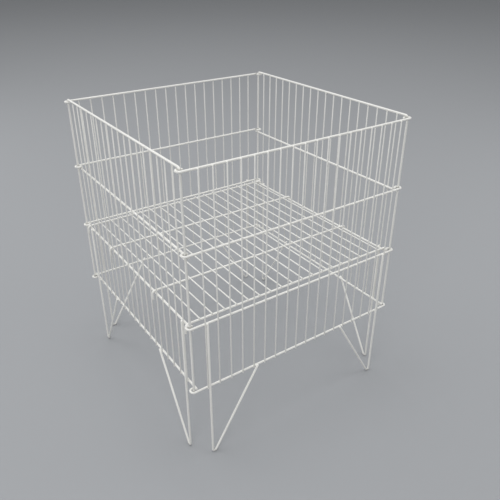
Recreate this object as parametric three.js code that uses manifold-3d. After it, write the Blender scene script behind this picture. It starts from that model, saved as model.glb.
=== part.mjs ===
// A free-standing wire dump bin: four welded wire panels, hinged at the corners by eyes bent round
// upright posts, and a wire shelf that hooks over the rails of the left and right panels. The front
// and back panels carry the eyes. The rim and the posts of the left and right panels are one wire.
// Millimetres, +Z up. The origin is on the floor at the middle of the bin, and -Y is the front.

import * as THREE from 'three';
import { mergeVertices } from 'three/addons/utils/BufferGeometryUtils.js';
import Module from 'manifold-3d';

// Wire diameters
const RAIL_WIRE = 5.5;
const POST_WIRE = 5.5;
const LEG_WIRE = 5.5;
const PICKET_WIRE = 3.2;
const CROSS_WIRE = 5.5;
const DECK_WIRE = 3.2;

// Plan of the bin: the corner posts stand on a square, and the pickets divide each side evenly
const POST_SPACING = 610;
const PICKET_COUNT = 18;

// Heights of the front and back rails: the lowest above the floor, then one step for each level
const LOWER_RAIL_HEIGHT = 210;
const LEVEL_STEP = 178;

// Clearances: between wires that touch, inside the hinge eyes, and inside the shelf's hooks
const FIT = 0.3;
const EYE_SLACK = 3;
const HOOK_SLACK = 2.2;

// Lengths that run past a weld: on a rail or a leg, on a picket above the rim and below the lowest
// rail, and on a post below the lowest eye
const WELD_LAP = 4;
const PICKET_TOP_LAP = 1.5;
const PICKET_FOOT_LAP = 1.5;
const POST_TAIL = 8;

// A weld spot's width along and across the thin wire it holds
const WELD_SPOT = 2.4;

// Hinge eyes and shelf hooks
const EYE_TURN = THREE.MathUtils.degToRad(260);
const HOOK_DROP = 24;

// Legs: the bend at the foot, the flat worn on it, and the picket that the sloping limb ends beside
const FOOT_BEND = 5;
const FOOT_FLAT = 0.4;
const SLOPE_PICKET = 5;

// Gaps between neighbouring pickets, counted from the post, that the shelf's hooks hang in
const EDGE_GAP = 0;
const INNER_GAP = 5;

// Sides of a wire's section, and the largest step along a bend
const STOUT_SIDES = 8;
const THIN_SIDES = 6;
const BEND_STEP = THREE.MathUtils.degToRad(30);

// Sizes that follow from those above
const HALF = POST_SPACING / 2;
const PICKET_PITCH = POST_SPACING / (PICKET_COUNT + 1);
const EYE_RADIUS = (POST_WIRE + EYE_SLACK + RAIL_WIRE) / 2 + FIT;
const POST_TO_RAIL = (POST_WIRE + RAIL_WIRE) / 2 + FIT;
const RAIL_TO_PICKET = (RAIL_WIRE + PICKET_WIRE) / 2 + FIT;
const RAIL_TO_LEG = (RAIL_WIRE + LEG_WIRE) / 2 + FIT;
const PICKET_TO_LEG = (PICKET_WIRE + LEG_WIRE) / 2 + FIT;
const RAIL_STACK = RAIL_WIRE + FIT;
const SHOULDER_RADIUS = EYE_RADIUS;
const RAIL_TO_CROSS = (RAIL_WIRE + CROSS_WIRE) / 2 + FIT;
const CROSS_TO_DECK = (CROSS_WIRE + DECK_WIRE) / 2 + FIT;

// Rail heights, from the lowest to the rim. The left and right rails lie against the front and
// back eyes: over them at the rim and at the foot, and under them between, so no panel can lift off.
const LEVELS = ['lower', 'middle', 'upper', 'rim'];
const EYE_RAIL_HEIGHTS = LEVELS.map((level, index) => LOWER_RAIL_HEIGHT + index * LEVEL_STEP);
const POST_RAIL_LIFTS = [RAIL_STACK, -RAIL_STACK, -RAIL_STACK, POST_TO_RAIL];
const POST_RAIL_HEIGHTS = EYE_RAIL_HEIGHTS.map((height, index) => height + POST_RAIL_LIFTS[index]);

// Distances of the rails from the middle of the bin: outside the posts at the front and back, and
// inside them at the left and right
const EYE_RAIL_OUT = HALF + POST_TO_RAIL;
const POST_RAIL_OUT = HALF - POST_TO_RAIL;

const X_AXIS = new THREE.Vector3(1, 0, 0);
const Y_AXIS = new THREE.Vector3(0, 1, 0);
const Z_AXIS = new THREE.Vector3(0, 0, 1);

const wasm = await Module();
wasm.setup();

// White powder-coated steel wire
function coatedWire() {
  return new THREE.MeshStandardMaterial({ color: 0xe6e6e2, roughness: 0.45, metalness: 0.0 });
}

// A wire's route, known at the stations where its section stands
class WireRoute extends THREE.Curve {
  constructor(stations) {
    super();
    this.stations = stations;
  }

  station(share) {
    return this.stations[Math.round(share * (this.stations.length - 1))];
  }

  getPointAt(share, target = new THREE.Vector3()) {
    return target.copy(this.station(share).point);
  }

  getTangentAt(share, target = new THREE.Vector3()) {
    return target.copy(this.station(share).heading);
  }
}

// A wire bender: feeds the wire straight ahead, or bends it about an axis to the left of its heading
class Bender {
  constructor(point, heading) {
    this.point = point.clone();
    this.heading = heading.clone().normalize();
    this.stations = [];
    this.mark();
  }

  mark() {
    this.stations.push({ point: this.point.clone(), heading: this.heading.clone() });
  }

  feed(length) {
    this.point.addScaledVector(this.heading, length);
    this.mark();
    return this;
  }

  bend(radius, angle, axis) {
    const steps = Math.ceil(angle / BEND_STEP);
    const towardCentre = new THREE.Vector3().crossVectors(axis, this.heading);
    const centre = this.point.clone().addScaledVector(towardCentre, radius);
    const spoke = this.point.clone().sub(centre);
    const start = this.heading.clone();
    for (let step = 1; step <= steps; step += 1) {
      const turned = (angle * step) / steps;
      this.point.copy(spoke).applyAxisAngle(axis, turned).add(centre);
      this.heading.copy(start).applyAxisAngle(axis, turned);
      this.mark();
    }
    return this;
  }

  wire(diameter, sides) {
    const steps = this.stations.length - 1;
    return new THREE.ExtrudeGeometry(wireSection(diameter, sides), {
      steps,
      extrudePath: new WireRoute(this.stations),
    });
  }
}

// A wire's section: a regular polygon whose flats are a diameter apart, one of them facing along X
function wireSection(diameter, sides) {
  const corner = diameter / 2 / Math.cos(Math.PI / sides);
  const points = [];
  for (let side = 0; side < sides; side += 1) {
    const angle = ((side + 0.5) * 2 * Math.PI) / sides;
    points.push(new THREE.Vector2(corner * Math.cos(angle), corner * Math.sin(angle)));
  }
  return new THREE.Shape(points);
}

function straightWire(start, end, diameter, sides) {
  const along = new THREE.Vector3().subVectors(end, start);
  return new Bender(start, along).feed(along.length()).wire(diameter, sides);
}

// A closed geometry as a solid that can be joined and cut
function toSolid(geometry) {
  const bare = geometry.clone();
  bare.deleteAttribute('normal');
  bare.deleteAttribute('uv');
  const merged = mergeVertices(bare);
  const vertProperties = new Float32Array(merged.attributes.position.array);
  const triVerts = new Uint32Array(merged.index.array);
  return new wasm.Manifold(new wasm.Mesh({ numProp: 3, vertProperties, triVerts }));
}

function toGeometry(solid) {
  const mesh = solid.getMesh();
  const geometry = new THREE.BufferGeometry();
  geometry.setAttribute('position', new THREE.BufferAttribute(mesh.vertProperties, 3));
  geometry.setIndex(new THREE.BufferAttribute(mesh.triVerts, 1));
  geometry.computeVertexNormals();
  return geometry;
}

// Wires welded into one piece
function welded(geometries) {
  const [first, ...others] = geometries.map(toSolid);
  return toGeometry(others.reduce((whole, other) => whole.add(other), first));
}

// The bead of metal between two crossing wires, from one axis to the other
function weldSpot(from, to) {
  const across = new THREE.Vector3().subVectors(to, from);
  const size = [WELD_SPOT, WELD_SPOT, WELD_SPOT];
  size[Math.abs(across.y) > Math.abs(across.z) ? 1 : 2] = across.length();
  const spot = new THREE.BoxGeometry(...size);
  const middle = new THREE.Vector3().addVectors(from, to).multiplyScalar(0.5);
  spot.translate(middle.x, middle.y, middle.z);
  return spot;
}

function addPiece(group, name, geometry) {
  const piece = new THREE.Mesh(geometry, coatedWire());
  piece.name = name;
  group.add(piece);
}

// Places along a panel of its pickets, from left to right
function picketPlaces() {
  const places = [];
  for (let index = 1; index <= PICKET_COUNT; index += 1) {
    places.push(-HALF + index * PICKET_PITCH);
  }
  return places;
}

// A rail of the front or back panel, with an eye bent round the post at each end
function eyeRail(height) {
  const clockwise = Z_AXIS.clone().negate();
  const centre = new THREE.Vector3(HALF, EYE_RADIUS - EYE_RAIL_OUT, height);
  const tip = new THREE.Vector3(0, -EYE_RADIUS, 0).applyAxisAngle(Z_AXIS, EYE_TURN).add(centre);
  const heading = X_AXIS.clone().negate().applyAxisAngle(Z_AXIS, EYE_TURN);
  const bender = new Bender(tip, heading);
  bender.bend(EYE_RADIUS, EYE_TURN, clockwise);
  bender.feed(POST_SPACING);
  bender.bend(EYE_RADIUS, EYE_TURN, clockwise);
  return bender.wire(RAIL_WIRE, STOUT_SIDES);
}

// A rail of the left or right panel: straight, welded inside the two posts
function postRail(height) {
  const reach = HALF + WELD_LAP;
  const start = new THREE.Vector3(-reach, -POST_RAIL_OUT, height);
  const end = new THREE.Vector3(reach, -POST_RAIL_OUT, height);
  return straightWire(start, end, RAIL_WIRE, STOUT_SIDES);
}

// The frame of the left or right panel: one wire, up one post, along the rim and down the other post.
// Its shoulders have the same bend as the eyes.
function postFrame(rimHeight) {
  const bottom = LOWER_RAIL_HEIGHT - POST_TAIL;
  const postLength = rimHeight - SHOULDER_RADIUS - bottom;
  const bender = new Bender(new THREE.Vector3(-HALF, -HALF, bottom), Z_AXIS);
  bender.feed(postLength);
  bender.bend(SHOULDER_RADIUS, Math.PI / 2, Y_AXIS);
  bender.feed(POST_SPACING - 2 * SHOULDER_RADIUS);
  bender.bend(SHOULDER_RADIUS, Math.PI / 2, Y_AXIS);
  bender.feed(postLength);
  return bender.wire(POST_WIRE, STOUT_SIDES);
}

// The pickets of a panel, on the outside of its rails, up to a height
function pickets(railOut, heights, top) {
  const out = railOut + RAIL_TO_PICKET;
  const bottom = heights[LEVELS.indexOf('lower')] - PICKET_FOOT_LAP;
  return picketPlaces().map((place) => {
    const foot = new THREE.Vector3(place, -out, bottom);
    const head = new THREE.Vector3(place, -out, top);
    return straightWire(foot, head, PICKET_WIRE, THIN_SIDES);
  });
}

// The rim of the front or back panel, with the pickets welded to its outside
function rimWithPickets() {
  const rim = EYE_RAIL_HEIGHTS[LEVELS.indexOf('rim')];
  const spots = picketPlaces().map((place) => {
    const rimSide = new THREE.Vector3(place, -EYE_RAIL_OUT, rim);
    const picketSide = new THREE.Vector3(place, -EYE_RAIL_OUT - RAIL_TO_PICKET, rim);
    return weldSpot(rimSide, picketSide);
  });
  const wires = pickets(EYE_RAIL_OUT, EYE_RAIL_HEIGHTS, rim + PICKET_TOP_LAP);
  return welded([eyeRail(rim), ...wires, ...spots]);
}

// The frame of the left or right panel, with the pickets welded to the underside of its rim
function frameWithPickets() {
  const rim = POST_RAIL_HEIGHTS[LEVELS.indexOf('rim')];
  return welded([postFrame(rim), ...pickets(POST_RAIL_OUT, POST_RAIL_HEIGHTS, rim)]);
}

// A leg at the left end of a panel: one wire that runs down beside the first picket from the middle
// rail, turns at the foot, and slopes up and inwards to the lower rail
function leftLeg(railOut, heights) {
  const [lower, middle] = heights;
  const upright = -HALF + PICKET_PITCH + PICKET_TO_LEG;
  const slopeEnd = -HALF + SLOPE_PICKET * PICKET_PITCH + PICKET_WIRE + LEG_WIRE + FIT;
  const bendHeight = FOOT_BEND + LEG_WIRE / 2 - FOOT_FLAT;
  const acrossGap = slopeEnd - upright - FOOT_BEND;
  const rise = lower - bendHeight;
  const lean = Math.atan2(acrossGap, rise) - Math.asin(FOOT_BEND / Math.hypot(acrossGap, rise));
  const slopeLength = Math.sqrt(acrossGap ** 2 + rise ** 2 - FOOT_BEND ** 2);
  const top = middle + WELD_LAP;
  const start = new THREE.Vector3(upright, -railOut - RAIL_TO_LEG, top);
  const bender = new Bender(start, Z_AXIS.clone().negate());
  bender.feed(top - bendHeight);
  bender.bend(FOOT_BEND, Math.PI / 2, Y_AXIS.clone().negate());
  bender.bend(FOOT_BEND, Math.PI / 2 - lean, Y_AXIS.clone().negate());
  bender.feed(slopeLength + WELD_LAP);
  const floor = new THREE.BoxGeometry(POST_SPACING, POST_SPACING, LEG_WIRE);
  floor.translate(start.x, start.y, -LEG_WIRE / 2);
  return toGeometry(toSolid(bender.wire(LEG_WIRE, STOUT_SIDES)).subtract(toSolid(floor)));
}

// The leg at the right end is the left one mirrored, with its faces turned the right way out again
function mirrored(geometry) {
  const copy = geometry.clone();
  copy.applyMatrix4(new THREE.Matrix4().makeScale(-1, 1, 1));
  const corners = copy.index.array;
  for (let start = 0; start < corners.length; start += 3) {
    [corners[start], corners[start + 1]] = [corners[start + 1], corners[start]];
  }
  copy.computeVertexNormals();
  return copy;
}

// The rails below the rim and the two legs of a panel seen from outside, facing -Y
function railsAndLegs(name, makeRail, railOut, heights, ends) {
  const group = new THREE.Group();
  LEVELS.slice(0, -1).forEach((level, index) => {
    addPiece(group, `${name}_${level}_rail`, makeRail(heights[index]));
  });
  const leg = leftLeg(railOut, heights);
  addPiece(group, `${name}_${ends[0]}_leg`, leg);
  addPiece(group, `${name}_${ends[1]}_leg`, mirrored(leg));
  return group;
}

// The front and back panels carry the eyes
function eyePanel(name, ends) {
  const group = railsAndLegs(name, eyeRail, EYE_RAIL_OUT, EYE_RAIL_HEIGHTS, ends);
  addPiece(group, `${name}_rim_and_pickets`, rimWithPickets());
  return group;
}

// The left and right panels carry the posts
function postPanel(name, ends) {
  const group = railsAndLegs(name, postRail, POST_RAIL_OUT, POST_RAIL_HEIGHTS, ends);
  addPiece(group, `${name}_frame_and_pickets`, frameWithPickets());
  return group;
}

// A cross wire of the shelf: it lies on the two middle rails and hooks down outside them
function crossWire(depth, height) {
  const bendRadius = RAIL_TO_CROSS + HOOK_SLACK;
  const tipLength = HOOK_DROP - bendRadius;
  const tip = new THREE.Vector3(-POST_RAIL_OUT - bendRadius, depth, height - HOOK_DROP);
  const bender = new Bender(tip, Z_AXIS);
  bender.feed(tipLength);
  bender.bend(bendRadius, Math.PI / 2, Y_AXIS);
  bender.feed(2 * POST_RAIL_OUT);
  bender.bend(bendRadius, Math.PI / 2, Y_AXIS);
  bender.feed(tipLength);
  return bender.wire(CROSS_WIRE, STOUT_SIDES);
}

// The shelf: cross wires in picket gaps, and a deck of thin wires welded over them
function shelf() {
  const group = new THREE.Group();
  const height = POST_RAIL_HEIGHTS[LEVELS.indexOf('middle')] + RAIL_TO_CROSS;
  const edge = HALF - (EDGE_GAP + 0.5) * PICKET_PITCH;
  const inner = HALF - (INNER_GAP + 0.5) * PICKET_PITCH;
  const deckHeight = height + CROSS_TO_DECK;
  const deckReach = edge + CROSS_WIRE / 2;
  const deckPieces = [crossWire(-edge, height)];
  for (const place of picketPlaces()) {
    const start = new THREE.Vector3(place, -deckReach, deckHeight);
    const end = new THREE.Vector3(place, deckReach, deckHeight);
    const low = new THREE.Vector3(place, -edge, height);
    const high = new THREE.Vector3(place, -edge, deckHeight);
    deckPieces.push(straightWire(start, end, DECK_WIRE, THIN_SIDES));
    deckPieces.push(weldSpot(low, high));
  }
  addPiece(group, 'shelf_front_wire_and_deck', welded(deckPieces));
  addPiece(group, 'shelf_inner_front_wire', crossWire(-inner, height));
  addPiece(group, 'shelf_inner_back_wire', crossWire(inner, height));
  addPiece(group, 'shelf_back_wire', crossWire(edge, height));
  return group;
}

// Stands a panel made facing -Y on another side of the bin
function turned(group, angle) {
  group.rotation.z = angle;
  return group;
}

const dumpBin = new THREE.Group();
dumpBin.add(eyePanel('front', ['left', 'right']));
dumpBin.add(turned(eyePanel('back', ['right', 'left']), Math.PI));
dumpBin.add(turned(postPanel('left', ['back', 'front']), -Math.PI / 2));
dumpBin.add(turned(postPanel('right', ['front', 'back']), Math.PI / 2));
dumpBin.add(shelf());

export default dumpBin;
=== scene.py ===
# A free-standing wire dump bin: four welded wire panels hinged round corner posts, V-shaped legs,
# and a wire shelf hooked over the side rails, all in white powder coat.
import math

import bpy
from mathutils import Matrix, Vector


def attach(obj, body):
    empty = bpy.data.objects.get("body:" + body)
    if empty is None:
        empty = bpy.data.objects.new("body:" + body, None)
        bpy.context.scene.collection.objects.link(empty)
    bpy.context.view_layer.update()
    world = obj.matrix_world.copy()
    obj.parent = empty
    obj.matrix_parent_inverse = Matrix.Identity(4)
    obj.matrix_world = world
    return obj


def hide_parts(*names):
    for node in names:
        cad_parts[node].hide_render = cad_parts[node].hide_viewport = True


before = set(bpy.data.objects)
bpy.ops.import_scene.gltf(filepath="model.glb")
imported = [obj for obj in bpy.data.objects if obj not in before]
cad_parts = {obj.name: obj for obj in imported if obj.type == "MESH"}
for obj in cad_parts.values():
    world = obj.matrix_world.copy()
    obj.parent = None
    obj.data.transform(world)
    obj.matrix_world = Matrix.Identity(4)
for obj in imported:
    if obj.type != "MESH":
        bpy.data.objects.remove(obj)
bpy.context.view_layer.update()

# Sizes of the solids, in metres
STOUT_WIRE = 0.0055
THIN_WIRE = 0.0032
POST_SPACING = 0.610
PICKET_COUNT = 18
LOWER_RAIL_HEIGHT = 0.210
LEVEL_STEP = 0.178
TOUCH_GAP = 0.0003
EYE_SLACK = 0.003
HOOK_SLACK = 0.0022
WELD_LAP = 0.004
PICKET_TOP_LAP = 0.0015
PICKET_FOOT_LAP = 0.0015
POST_TAIL = 0.008
EYE_TURN = math.radians(260)
HOOK_DROP = 0.024
FOOT_BEND = 0.005
FOOT_FLAT = 0.0004
SLOPE_PICKET = 5
EDGE_GAP = 0
INNER_GAP = 5

# Sizes that follow from those above. Touching wires are spaced from axis to axis, and CONTACT is from
# a stout wire's axis to the weld on its side.
HALF = POST_SPACING / 2
PICKET_PITCH = POST_SPACING / (PICKET_COUNT + 1)
FIRST_PICKET = -HALF + PICKET_PITCH
STOUT_TO_STOUT = STOUT_WIRE + TOUCH_GAP
STOUT_TO_THIN = (STOUT_WIRE + THIN_WIRE) / 2 + TOUCH_GAP
CONTACT = (STOUT_WIRE + TOUCH_GAP) / 2
EYE_RADIUS = STOUT_WIRE + EYE_SLACK / 2 + TOUCH_GAP
SHOULDER_RADIUS = EYE_RADIUS
HOOK_RADIUS = STOUT_TO_STOUT + HOOK_SLACK
EYE_RAIL_OUT = HALF + STOUT_TO_STOUT
POST_RAIL_OUT = HALF - STOUT_TO_STOUT

# Rail heights, from the lowest to the rim. The left and right rails lie over the front and back
# eyes at the rim and at the lowest level, and under them between.
EYE_RAIL_HEIGHTS = [LOWER_RAIL_HEIGHT + level * LEVEL_STEP for level in range(4)]
POST_RAIL_SIDES = (1, -1, -1, 1)
POST_RAIL_HEIGHTS = [
    height + side * STOUT_TO_STOUT for height, side in zip(EYE_RAIL_HEIGHTS, POST_RAIL_SIDES)
]

# How finely bends and rounds are drawn
BEND_STEP = math.radians(10)
WIRE_SIDES = 16
BEAD_SEGMENTS = 10
BEAD_RINGS = 6

# A sheared wire end, rounded by its coat: distance from the end and girth there, both in diameters
CUT_END = ((0.0, 0.36), (0.06, 0.45), (0.16, 0.5))

# A weld's squeezed-out bead: half its width and height, its size between stout wires against that
# between a stout and a thin one, the share by which beads differ, and the seed of the differences
BEAD_HALF_WIDTH = 0.0021
BEAD_HALF_HEIGHT = 0.0013
STOUT_BEAD = 1.5
BEAD_SPREAD = 0.15
BEAD_SEED = 7

# Lengths over which the coat is rubbed thin at the hinge eyes, the shelf's hooks and the feet
EYE_RUB = 0.013
HOOK_RUB = 0.012
FOOT_RUB = 0.015

X_AXIS = Vector((1, 0, 0))
Y_AXIS = Vector((0, 1, 0))
Z_AXIS = Vector((0, 0, 1))

# The powder coat where it is thin and thick, and the steel under it
THIN_COAT_COLOUR = "#E3E2DD"
THICK_COAT_COLOUR = "#F0EFEB"
STEEL_COLOUR = "#8B8A87"

# What every point of a mat is marked with: the kind of attribute and its usual value
POINT_MARKS = {
    "girth": ("FLOAT", 0.0),
    "rub": ("FLOAT", 0.0),
    "bead": ("BOOLEAN", False),
    "bead_size": ("FLOAT", 1.0),
    "bead_side": ("FLOAT_VECTOR", Z_AXIS),
    "row": ("BOOLEAN", False),
}

# Places of a Mix node's colour sockets
MIX_COLOUR_A = 6
MIX_COLOUR_B = 7
MIX_COLOUR_OUT = 2


def linear(hex_colour):
    """An sRGB hex colour as linear red, green, blue and alpha."""
    channels = [int(hex_colour[place:place + 2], 16) / 255 for place in (1, 3, 5)]
    curve = [c / 12.92 if c <= 0.04045 else ((c + 0.055) / 1.055) ** 2.4 for c in channels]
    return (*curve, 1.0)


def add(tree, kind, inputs=None, **settings):
    """Adds a node with its settings, and links or fills its inputs."""
    node = tree.nodes.new(kind)
    for name, value in settings.items():
        setattr(node, name, value)
    for key, value in (inputs or {}).items():
        socket = node.inputs[key]
        if isinstance(value, bpy.types.NodeSocket):
            tree.links.new(value, socket)
        else:
            socket.default_value = value
    return node


def per_millimetres(size):
    """The texture scale whose cells are this many millimetres across, on coordinates in metres."""
    return 1000 / size


def white_powder_coat():
    """Polyester powder coat, sprayed on and baked over drawn steel wire: off-white and semi-gloss, with
    a faint orange peel, a little uneven in thickness, and rubbed to grey steel where wires chafe."""
    material = bpy.data.materials.new("white_powder_coat_on_steel_wire")
    material.use_nodes = True
    tree = material.node_tree
    tree.nodes.clear()
    place = add(tree, "ShaderNodeTexCoord").outputs["Object"]
    patches = add(tree, "ShaderNodeTexNoise", {
        "Vector": place, "Scale": per_millimetres(45), "Detail": 2.0, "Roughness": 0.5,
    })
    coat = add(tree, "ShaderNodeMix", {
        "Factor": patches.outputs["Fac"],
        MIX_COLOUR_A: linear(THIN_COAT_COLOUR),
        MIX_COLOUR_B: linear(THICK_COAT_COLOUR),
    }, data_type="RGBA")
    rub = add(tree, "ShaderNodeAttribute", attribute_name="rub")
    chafe = add(tree, "ShaderNodeTexNoise", {
        "Vector": place, "Scale": per_millimetres(3), "Detail": 4.0, "Roughness": 0.6,
    })
    worn = add(tree, "ShaderNodeMath", {
        0: rub.outputs["Fac"], 1: chafe.outputs["Fac"],
    }, operation="MULTIPLY")
    bare = add(tree, "ShaderNodeMapRange", {
        "Value": worn.outputs[0], "From Min": 0.30, "From Max": 0.48, "To Min": 0.0, "To Max": 0.75,
    })
    colour = add(tree, "ShaderNodeMix", {
        "Factor": bare.outputs[0],
        MIX_COLOUR_A: coat.outputs[MIX_COLOUR_OUT],
        MIX_COLOUR_B: linear(STEEL_COLOUR),
    }, data_type="RGBA")
    gloss = add(tree, "ShaderNodeMapRange", {
        "Value": patches.outputs["Fac"], "From Min": 0.3, "From Max": 0.7, "To Min": 0.40, "To Max": 0.31,
    })
    # Orange peel is about 1 mm across; it is drawn at 2 mm so that it shows on a wire
    peel = add(tree, "ShaderNodeTexNoise", {
        "Vector": place, "Scale": per_millimetres(2), "Detail": 1.0, "Roughness": 0.4,
    })
    relief = add(tree, "ShaderNodeBump", {
        "Height": peel.outputs["Fac"], "Strength": 0.25, "Distance": 0.0002,
    })
    shader = add(tree, "ShaderNodeBsdfPrincipled", {
        "Base Color": colour.outputs[MIX_COLOUR_OUT],
        "Roughness": gloss.outputs[0],
        "Normal": relief.outputs["Normal"],
        "IOR": 1.5,
    })
    add(tree, "ShaderNodeOutputMaterial", {"Surface": shader.outputs["BSDF"]})
    return material


def bent_wire(start, heading, moves):
    """Points along a wire's axis. A length feeds it straight on, and a radius, an angle and an axis
    bend it to the left of its heading about that axis."""
    point = Vector(start)
    heading = Vector(heading).normalized()
    points = [point]
    for move in moves:
        if isinstance(move, float):
            point = point + heading * move
            points.append(point)
            continue
        radius, angle, axis = move
        centre = point + axis.cross(heading) * radius
        spoke = point - centre
        steps = math.ceil(angle / BEND_STEP)
        for step in range(1, steps + 1):
            points.append(centre + Matrix.Rotation(angle * step / steps, 3, axis) @ spoke)
        point = points[-1]
        heading = Matrix.Rotation(angle, 3, axis) @ heading
    return points


def with_rub_stations(points, spots, reach):
    """Adds points at and beside each rubbed spot on a wire's straight runs, so that its wear ends there."""
    dense = points[:1]
    for start, end in zip(points, points[1:]):
        heading = (end - start).normalized()
        length = (end - start).length
        stops = []
        for spot in spots:
            middle = (spot - start).dot(heading)
            if (spot - start - heading * middle).length < reach:
                stops += [middle - reach, middle, middle + reach]
        dense += [start + heading * stop for stop in sorted(stops) if 0 < stop < length]
        dense.append(end)
    return dense


def mirrored(points):
    """The same points on the other side of the panel's middle."""
    return [Vector((-point.x, point.y, point.z)) for point in points]


class Mat:
    """The axes and welds of a mat of wires, from which its tree makes the wires. Each point's marks say
    how thick and how rubbed the wire is there, whether it is a weld, what its bead is like, and whether
    the tree repeats it along a row."""

    def __init__(self, name):
        self.name = name
        self.points = []
        self.edges = []
        self.marks = {mark: [] for mark in POINT_MARKS}

    def add_point(self, point, **marks):
        self.points.append(point)
        for mark, (_, usual) in POINT_MARKS.items():
            self.marks[mark].append(marks.get(mark, usual))

    def add_wire(self, points, diameter, row=False, rubbed=(), rub_reach=0.0):
        """A wire with sheared ends. Its coat is rubbed near the places given."""
        points = with_rub_stations(points, rubbed, rub_reach)
        ahead = (points[1] - points[0]).normalized()
        behind = (points[-2] - points[-1]).normalized()
        full_girth = CUT_END[-1][1]
        stations = [(points[0] + ahead * share * diameter, girth) for share, girth in CUT_END]
        stations += [(point, full_girth) for point in points[1:-1]]
        for share, girth in reversed(CUT_END):
            stations.append((points[-1] + behind * share * diameter, girth))
        first = len(self.points)
        for point, girth in stations:
            rub = max((1 - (point - spot).length / rub_reach for spot in rubbed), default=0.0)
            self.add_point(point, girth=girth * diameter, rub=max(rub, 0.0), row=row)
        self.edges += [(place, place + 1) for place in range(first, len(self.points) - 1)]

    def add_weld(self, point, side, size=1.0, row=False):
        self.add_point(point, bead=True, bead_size=size, bead_side=side, row=row)

    def mesh(self):
        mesh = bpy.data.meshes.new(self.name)
        mesh.from_pydata(self.points, self.edges, [])
        for mark, (kind, _) in POINT_MARKS.items():
            attribute = mesh.attributes.new(mark, kind, "POINT")
            for item, value in zip(attribute.data, self.marks[mark]):
                if kind == "FLOAT_VECTOR":
                    item.vector = value
                else:
                    item.value = value
        return mesh


def welded_wire_tree():
    """Geometry nodes for a mat of welded wire. The wires and welds marked as a row are repeated, each
    axis becomes a round wire, and each weld point gets a squeezed-out bead of a slightly different size."""
    tree = bpy.data.node_groups.new("welded_wire_mat", "GeometryNodeTree")
    sockets = {}
    for name, kind in (
        ("Axes", "NodeSocketGeometry"),
        ("Row count", "NodeSocketInt"),
        ("Row pitch", "NodeSocketVector"),
        ("Wire sides", "NodeSocketInt"),
        ("Bead half width", "NodeSocketFloat"),
        ("Bead half height", "NodeSocketFloat"),
        ("Bead spread", "NodeSocketFloat"),
        ("Bead seed", "NodeSocketInt"),
        ("Coat", "NodeSocketMaterial"),
    ):
        sockets[name] = tree.interface.new_socket(name=name, in_out="INPUT", socket_type=kind).identifier
    tree.interface.new_socket(name="Mat", in_out="OUTPUT", socket_type="NodeSocketGeometry")
    given = add(tree, "NodeGroupInput").outputs

    marks = {}
    for mark in ("row", "bead", "bead_size", "bead_side", "girth"):
        kind = POINT_MARKS[mark][0]
        reader = add(tree, "GeometryNodeInputNamedAttribute", {"Name": mark}, data_type=kind)
        marks[mark] = reader.outputs["Attribute"]

    parts = add(tree, "GeometryNodeSeparateGeometry", {
        "Geometry": given["Axes"], "Selection": marks["row"],
    })
    places = add(tree, "GeometryNodeMeshLine", {
        "Count": given["Row count"], "Offset": given["Row pitch"],
    })
    row = add(tree, "GeometryNodeInstanceOnPoints", {
        "Points": places.outputs["Mesh"], "Instance": parts.outputs["Selection"],
    })
    repeated = add(tree, "GeometryNodeRealizeInstances", {"Geometry": row.outputs["Instances"]})
    axes = add(tree, "GeometryNodeJoinGeometry", {"Geometry": repeated.outputs["Geometry"]})
    tree.links.new(parts.outputs["Inverted"], axes.inputs["Geometry"])

    split = add(tree, "GeometryNodeSeparateGeometry", {
        "Geometry": axes.outputs["Geometry"], "Selection": marks["bead"],
    })
    lines = add(tree, "GeometryNodeMeshToCurve", {"Mesh": split.outputs["Inverted"]})
    section = add(tree, "GeometryNodeCurvePrimitiveCircle", {
        "Resolution": given["Wire sides"], "Radius": 1.0,
    })
    wires = add(tree, "GeometryNodeCurveToMesh", {
        "Curve": lines.outputs["Curve"],
        "Profile Curve": section.outputs["Curve"],
        "Scale": marks["girth"],
        "Fill Caps": True,
    })

    ball = add(tree, "GeometryNodeMeshUVSphere", {
        "Segments": BEAD_SEGMENTS, "Rings": BEAD_RINGS, "Radius": 1.0,
    })
    upright = add(tree, "FunctionNodeAlignRotationToVector", {"Vector": marks["bead_side"]}, axis="Z")
    smallest = add(tree, "ShaderNodeMath", {0: 1.0, 1: given["Bead spread"]}, operation="SUBTRACT")
    largest = add(tree, "ShaderNodeMath", {0: 1.0, 1: given["Bead spread"]}, operation="ADD")
    vary = add(tree, "FunctionNodeRandomValue", {
        "Min": smallest.outputs["Value"], "Max": largest.outputs["Value"], "Seed": given["Bead seed"],
    })
    bead_scale = add(tree, "ShaderNodeMath", {
        0: vary.outputs["Value"], 1: marks["bead_size"],
    }, operation="MULTIPLY")
    form = add(tree, "ShaderNodeCombineXYZ", {
        "X": given["Bead half width"], "Y": given["Bead half width"], "Z": given["Bead half height"],
    })
    bead_form = add(tree, "ShaderNodeVectorMath", {
        "Vector": form.outputs["Vector"], "Scale": bead_scale.outputs["Value"],
    }, operation="SCALE")
    beads = add(tree, "GeometryNodeInstanceOnPoints", {
        "Points": split.outputs["Selection"],
        "Instance": ball.outputs["Mesh"],
        "Rotation": upright.outputs["Rotation"],
        "Scale": bead_form.outputs["Vector"],
    })

    whole = add(tree, "GeometryNodeJoinGeometry", {"Geometry": beads.outputs["Instances"]})
    tree.links.new(wires.outputs["Mesh"], whole.inputs["Geometry"])
    real = add(tree, "GeometryNodeRealizeInstances", {"Geometry": whole.outputs["Geometry"]})
    smooth = add(tree, "GeometryNodeSetShadeSmooth", {"Geometry": real.outputs["Geometry"]})
    coated = add(tree, "GeometryNodeSetMaterial", {
        "Geometry": smooth.outputs["Geometry"], "Material": given["Coat"],
    })
    add(tree, "NodeGroupOutput", {"Mat": coated.outputs["Geometry"]})
    return tree, sockets


WIRE_TREE, WIRE_SOCKETS = welded_wire_tree()
COAT = white_powder_coat()


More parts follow.
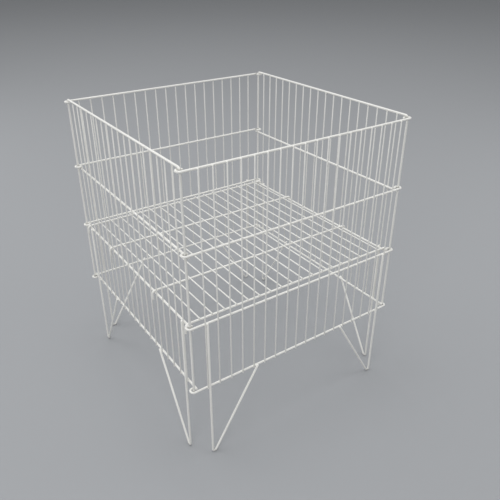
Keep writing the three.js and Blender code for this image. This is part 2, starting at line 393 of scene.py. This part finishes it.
def make_piece(mat, body, nodes, turn=0.0, row_count=1, row_pitch=(0, 0, 0)):
    """Runs the tree on a mat's axes, turns the result to its side of the bin, and puts it in the frame."""
    piece = bpy.data.objects.new(mat.name, mat.mesh())
    bpy.context.scene.collection.objects.link(piece)
    modifier = piece.modifiers.new("welded_wire_mat", "NODES")
    modifier.node_group = WIRE_TREE
    for name, value in (
        ("Row count", row_count),
        ("Row pitch", row_pitch),
        ("Wire sides", WIRE_SIDES),
        ("Bead half width", BEAD_HALF_WIDTH),
        ("Bead half height", BEAD_HALF_HEIGHT),
        ("Bead spread", BEAD_SPREAD),
        ("Bead seed", BEAD_SEED),
        ("Coat", COAT),
    ):
        modifier[WIRE_SOCKETS[name]] = value
    finished = piece.evaluated_get(bpy.context.evaluated_depsgraph_get())
    made = bpy.data.meshes.new_from_object(finished)
    piece.modifiers.clear()
    piece.data = made
    # Only the rubbing is read by the material
    for mark in POINT_MARKS:
        spare = made.attributes.get(mark)
        if spare and mark != "rub":
            made.attributes.remove(spare)
    made.transform(Matrix.Rotation(turn, 4, "Z"))
    # The feet are worn flat where they meet the floor
    for vertex in made.vertices:
        vertex.co.z = max(vertex.co.z, 0.0)
    made.name = mat.name
    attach(piece, body)
    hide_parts(*nodes)


def add_pickets(mat, rail_out, head_height, weld_heights):
    """The first picket of a panel, with its welds to the rails from the lowest up. The tree repeats it
    along the panel."""
    out = rail_out + STOUT_TO_THIN
    foot = Vector((FIRST_PICKET, -out, min(weld_heights) - PICKET_FOOT_LAP))
    head = Vector((FIRST_PICKET, -out, head_height))
    mat.add_wire([foot, head], THIN_WIRE, row=True)
    for height in weld_heights:
        mat.add_weld(Vector((FIRST_PICKET, -rail_out - CONTACT, height)), -Y_AXIS, row=True)


def add_eye_rails(mat):
    """Rails of the front or back panel, with an eye bent round the post at each end."""
    for height in EYE_RAIL_HEIGHTS:
        centre = Vector((HALF, EYE_RADIUS - EYE_RAIL_OUT, height))
        turn = Matrix.Rotation(EYE_TURN, 3, Z_AXIS)
        tip = centre + turn @ Vector((0, -EYE_RADIUS, 0))
        eye = (EYE_RADIUS, EYE_TURN, -Z_AXIS)
        posts = [Vector((side * HALF, -HALF, height)) for side in (-1, 1)]
        points = bent_wire(tip, turn @ -X_AXIS, [eye, POST_SPACING, eye])
        mat.add_wire(points, STOUT_WIRE, rubbed=posts, rub_reach=EYE_RUB)
    head_height = EYE_RAIL_HEIGHTS[-1] + PICKET_TOP_LAP
    add_pickets(mat, EYE_RAIL_OUT, head_height, EYE_RAIL_HEIGHTS)


def add_post_rails(mat):
    """Wires of the left or right panel: one bent wire is both posts and the rim, and the other rails are
    welded inside its posts."""
    *heights, rim = POST_RAIL_HEIGHTS
    bottom = LOWER_RAIL_HEIGHT - POST_TAIL
    post_length = rim - SHOULDER_RADIUS - bottom
    shoulder = (SHOULDER_RADIUS, math.pi / 2, Y_AXIS)
    rim_length = POST_SPACING - 2 * SHOULDER_RADIUS
    moves = [post_length, shoulder, rim_length, shoulder, post_length]
    eyes = [Vector((side * HALF, -HALF, height)) for side in (-1, 1) for height in EYE_RAIL_HEIGHTS]
    frame_wire = bent_wire((-HALF, -HALF, bottom), Z_AXIS, moves)
    mat.add_wire(frame_wire, STOUT_WIRE, rubbed=eyes, rub_reach=EYE_RUB)
    reach = HALF + WELD_LAP
    for height in heights:
        mat.add_wire([Vector((side * reach, -POST_RAIL_OUT, height)) for side in (-1, 1)], STOUT_WIRE)
        for side in (-1, 1):
            mat.add_weld(Vector((side * HALF, -POST_RAIL_OUT - CONTACT, height)), -Y_AXIS, STOUT_BEAD)
    add_pickets(mat, POST_RAIL_OUT, rim, heights)
    under_rim = Vector((FIRST_PICKET, -POST_RAIL_OUT - STOUT_TO_THIN, rim - STOUT_WIRE / 2))
    mat.add_weld(under_rim, Z_AXIS, row=True)


def leg_pair(name, rail_out, heights):
    """The two legs of a panel: each runs down beside the end picket from the middle rail, turns at the
    foot, and slopes up and inwards to the lowest rail."""
    mat = Mat(name)
    lower, middle = heights[:2]
    out = rail_out + STOUT_TO_STOUT
    upright = FIRST_PICKET + STOUT_TO_THIN
    slope_end = -HALF + SLOPE_PICKET * PICKET_PITCH + THIN_WIRE + STOUT_WIRE + TOUCH_GAP
    bend_height = FOOT_BEND + STOUT_WIRE / 2 - FOOT_FLAT
    across = slope_end - upright - FOOT_BEND
    rise = lower - bend_height
    lean = math.atan2(across, rise) - math.asin(FOOT_BEND / math.hypot(across, rise))
    slope_length = math.sqrt(across ** 2 + rise ** 2 - FOOT_BEND ** 2)
    top = middle + WELD_LAP
    foot = (FOOT_BEND, math.pi - lean, -Y_AXIS)
    points = bent_wire((upright, -out, top), -Z_AXIS, [top - bend_height, foot, slope_length + WELD_LAP])
    contact = -rail_out - CONTACT
    tread = Vector((upright + FOOT_BEND, -out, 0))
    welds = [Vector((place, contact, height)) for place, height in (
        (upright, middle), (upright, lower), (slope_end, lower),
    )]
    for leg, spots, wear in (
        (points, welds, [tread]),
        (mirrored(points), mirrored(welds), mirrored([tread])),
    ):
        mat.add_wire(leg, STOUT_WIRE, rubbed=wear, rub_reach=FOOT_RUB)
        for spot in spots:
            mat.add_weld(spot, -Y_AXIS, STOUT_BEAD)
    return mat


def make_panel(name, turn, ends, has_eyes):
    """A panel and its legs, made facing the front and turned to their side of the bin."""
    rail_out = EYE_RAIL_OUT if has_eyes else POST_RAIL_OUT
    heights = EYE_RAIL_HEIGHTS if has_eyes else POST_RAIL_HEIGHTS
    mat = Mat(f"{name}_panel")
    nodes = [f"{name}_{level}_rail" for level in ("lower", "middle", "upper")]
    if has_eyes:
        add_eye_rails(mat)
        nodes.append(f"{name}_rim_and_pickets")
    else:
        add_post_rails(mat)
        nodes.append(f"{name}_frame_and_pickets")
    make_piece(mat, "walls", nodes, turn, PICKET_COUNT, (PICKET_PITCH, 0, 0))
    legs = leg_pair(f"{name}_legs", rail_out, heights)
    make_piece(legs, "walls", [f"{name}_{end}_leg" for end in ends], turn)


def make_shelf():
    """The shelf: cross wires hooked down over the side rails, and a deck of thin wires welded on them."""
    mat = Mat("shelf_mat")
    # The hooks hang on the middle rails, the second from below, each in the middle of a gap between pickets
    rail_height = POST_RAIL_HEIGHTS[1]
    height = rail_height + STOUT_TO_STOUT
    gap_middles = [HALF - (gap + 0.5) * PICKET_PITCH for gap in (EDGE_GAP, INNER_GAP)]
    depths = [side * middle for middle in gap_middles for side in (-1, 1)]
    tip_length = HOOK_DROP - HOOK_RADIUS
    hook = (HOOK_RADIUS, math.pi / 2, Y_AXIS)
    deck_height = height + STOUT_TO_THIN
    reach = max(depths) + STOUT_WIRE / 2
    deck_wire = [Vector((FIRST_PICKET, side * reach, deck_height)) for side in (-1, 1)]
    mat.add_wire(deck_wire, THIN_WIRE, row=True)
    for depth in depths:
        tip = (-POST_RAIL_OUT - HOOK_RADIUS, depth, height - HOOK_DROP)
        rails = [Vector((side * POST_RAIL_OUT, depth, rail_height)) for side in (-1, 1)]
        points = bent_wire(tip, Z_AXIS, [tip_length, hook, 2 * POST_RAIL_OUT, hook, tip_length])
        mat.add_wire(points, STOUT_WIRE, rubbed=rails, rub_reach=HOOK_RUB)
        mat.add_weld(Vector((FIRST_PICKET, depth, height + CONTACT)), Z_AXIS, row=True)
    nodes = [
        "shelf_front_wire_and_deck",
        "shelf_inner_front_wire",
        "shelf_inner_back_wire",
        "shelf_back_wire",
    ]
    make_piece(mat, "shelf", nodes, row_count=PICKET_COUNT, row_pitch=(PICKET_PITCH, 0, 0))


make_panel("front", 0.0, ("left", "right"), has_eyes=True)
make_panel("back", math.pi, ("right", "left"), has_eyes=True)
make_panel("left", -math.pi / 2, ("back", "front"), has_eyes=False)
make_panel("right", math.pi / 2, ("front", "back"), has_eyes=False)
make_shelf()


# The studio: a plain pale floor, a soft overhead light, weaker lights round the bin, and pale air
FLOOR_RADIUS = 60.0
FLOOR_SIDES = 96
FLOOR_COLOUR = "#989A9D"
FLOOR_ROUGHNESS = 0.9
AIR_COLOUR = "#D9DADB"
AIR_STRENGTH = 0.55

floor_mesh = bpy.data.meshes.new("floor")
edge_angles = [2 * math.pi * side / FLOOR_SIDES for side in range(FLOOR_SIDES)]
floor_edge = [FLOOR_RADIUS * Vector((math.cos(angle), math.sin(angle), 0)) for angle in edge_angles]
floor_mesh.from_pydata(floor_edge, [], [tuple(range(FLOOR_SIDES))])
floor = bpy.data.objects.new("floor", floor_mesh)
bpy.context.scene.collection.objects.link(floor)
floor_paint = bpy.data.materials.new("matt_floor_paint")
floor_paint.use_nodes = True
floor_shader = floor_paint.node_tree.nodes["Principled BSDF"]
floor_shader.inputs["Base Color"].default_value = linear(FLOOR_COLOUR)
floor_shader.inputs["Roughness"].default_value = FLOOR_ROUGHNESS
floor_mesh.materials.append(floor_paint)

world = bpy.data.worlds.new("studio_air")
bpy.context.scene.world = world
world.use_nodes = True
air = world.node_tree.nodes["Background"]
air.inputs["Color"].default_value = linear(AIR_COLOUR)
air.inputs["Strength"].default_value = AIR_STRENGTH

# The point that the softboxes face, and each one's place, the length of its sides and its power in watts
BIN_MIDDLE = Vector((0.0, 0.0, 0.4))
SOFTBOXES = {
    "overhead_softbox": (Vector((-0.5, 0.8, 8.0)), 8.0, 470.0),
    "left_softbox": (Vector((-2.6, -2.2, 1.8)), 1.6, 32.0),
    "right_softbox": (Vector((3.0, -1.4, 1.8)), 1.6, 20.0),
    "back_softbox": (Vector((-2.0, 3.0, 1.8)), 1.6, 20.0),
}

for softbox_name, (place, side_length, power) in SOFTBOXES.items():
    lamp = bpy.data.lights.new(softbox_name, "AREA")
    lamp.size = side_length
    lamp.energy = power
    softbox = bpy.data.objects.new(softbox_name, lamp)
    bpy.context.scene.collection.objects.link(softbox)
    softbox.location = place
    softbox.rotation_euler = (BIN_MIDDLE - place).to_track_quat("-Z", "Y").to_euler()

# The camera stands at the front left, above the rim, and looks down into the bin. Its lens and sensor
# are in millimetres.
CAMERA_PLACE = Vector((-0.7467, -1.1686, 1.1118))
CAMERA_HEADING = Vector((0.4978, 0.7193, -0.4846))
LENS = 40.21
SENSOR_WIDTH = 36.0

camera_data = bpy.data.cameras.new("camera")
camera_data.lens = LENS
camera_data.sensor_width = SENSOR_WIDTH
camera = bpy.data.objects.new("camera", camera_data)
bpy.context.scene.collection.objects.link(camera)
camera.location = CAMERA_PLACE
camera.rotation_euler = CAMERA_HEADING.to_track_quat("-Z", "Y").to_euler()
bpy.context.scene.camera = camera
bpy.context.scene.view_settings.view_transform = "Standard"
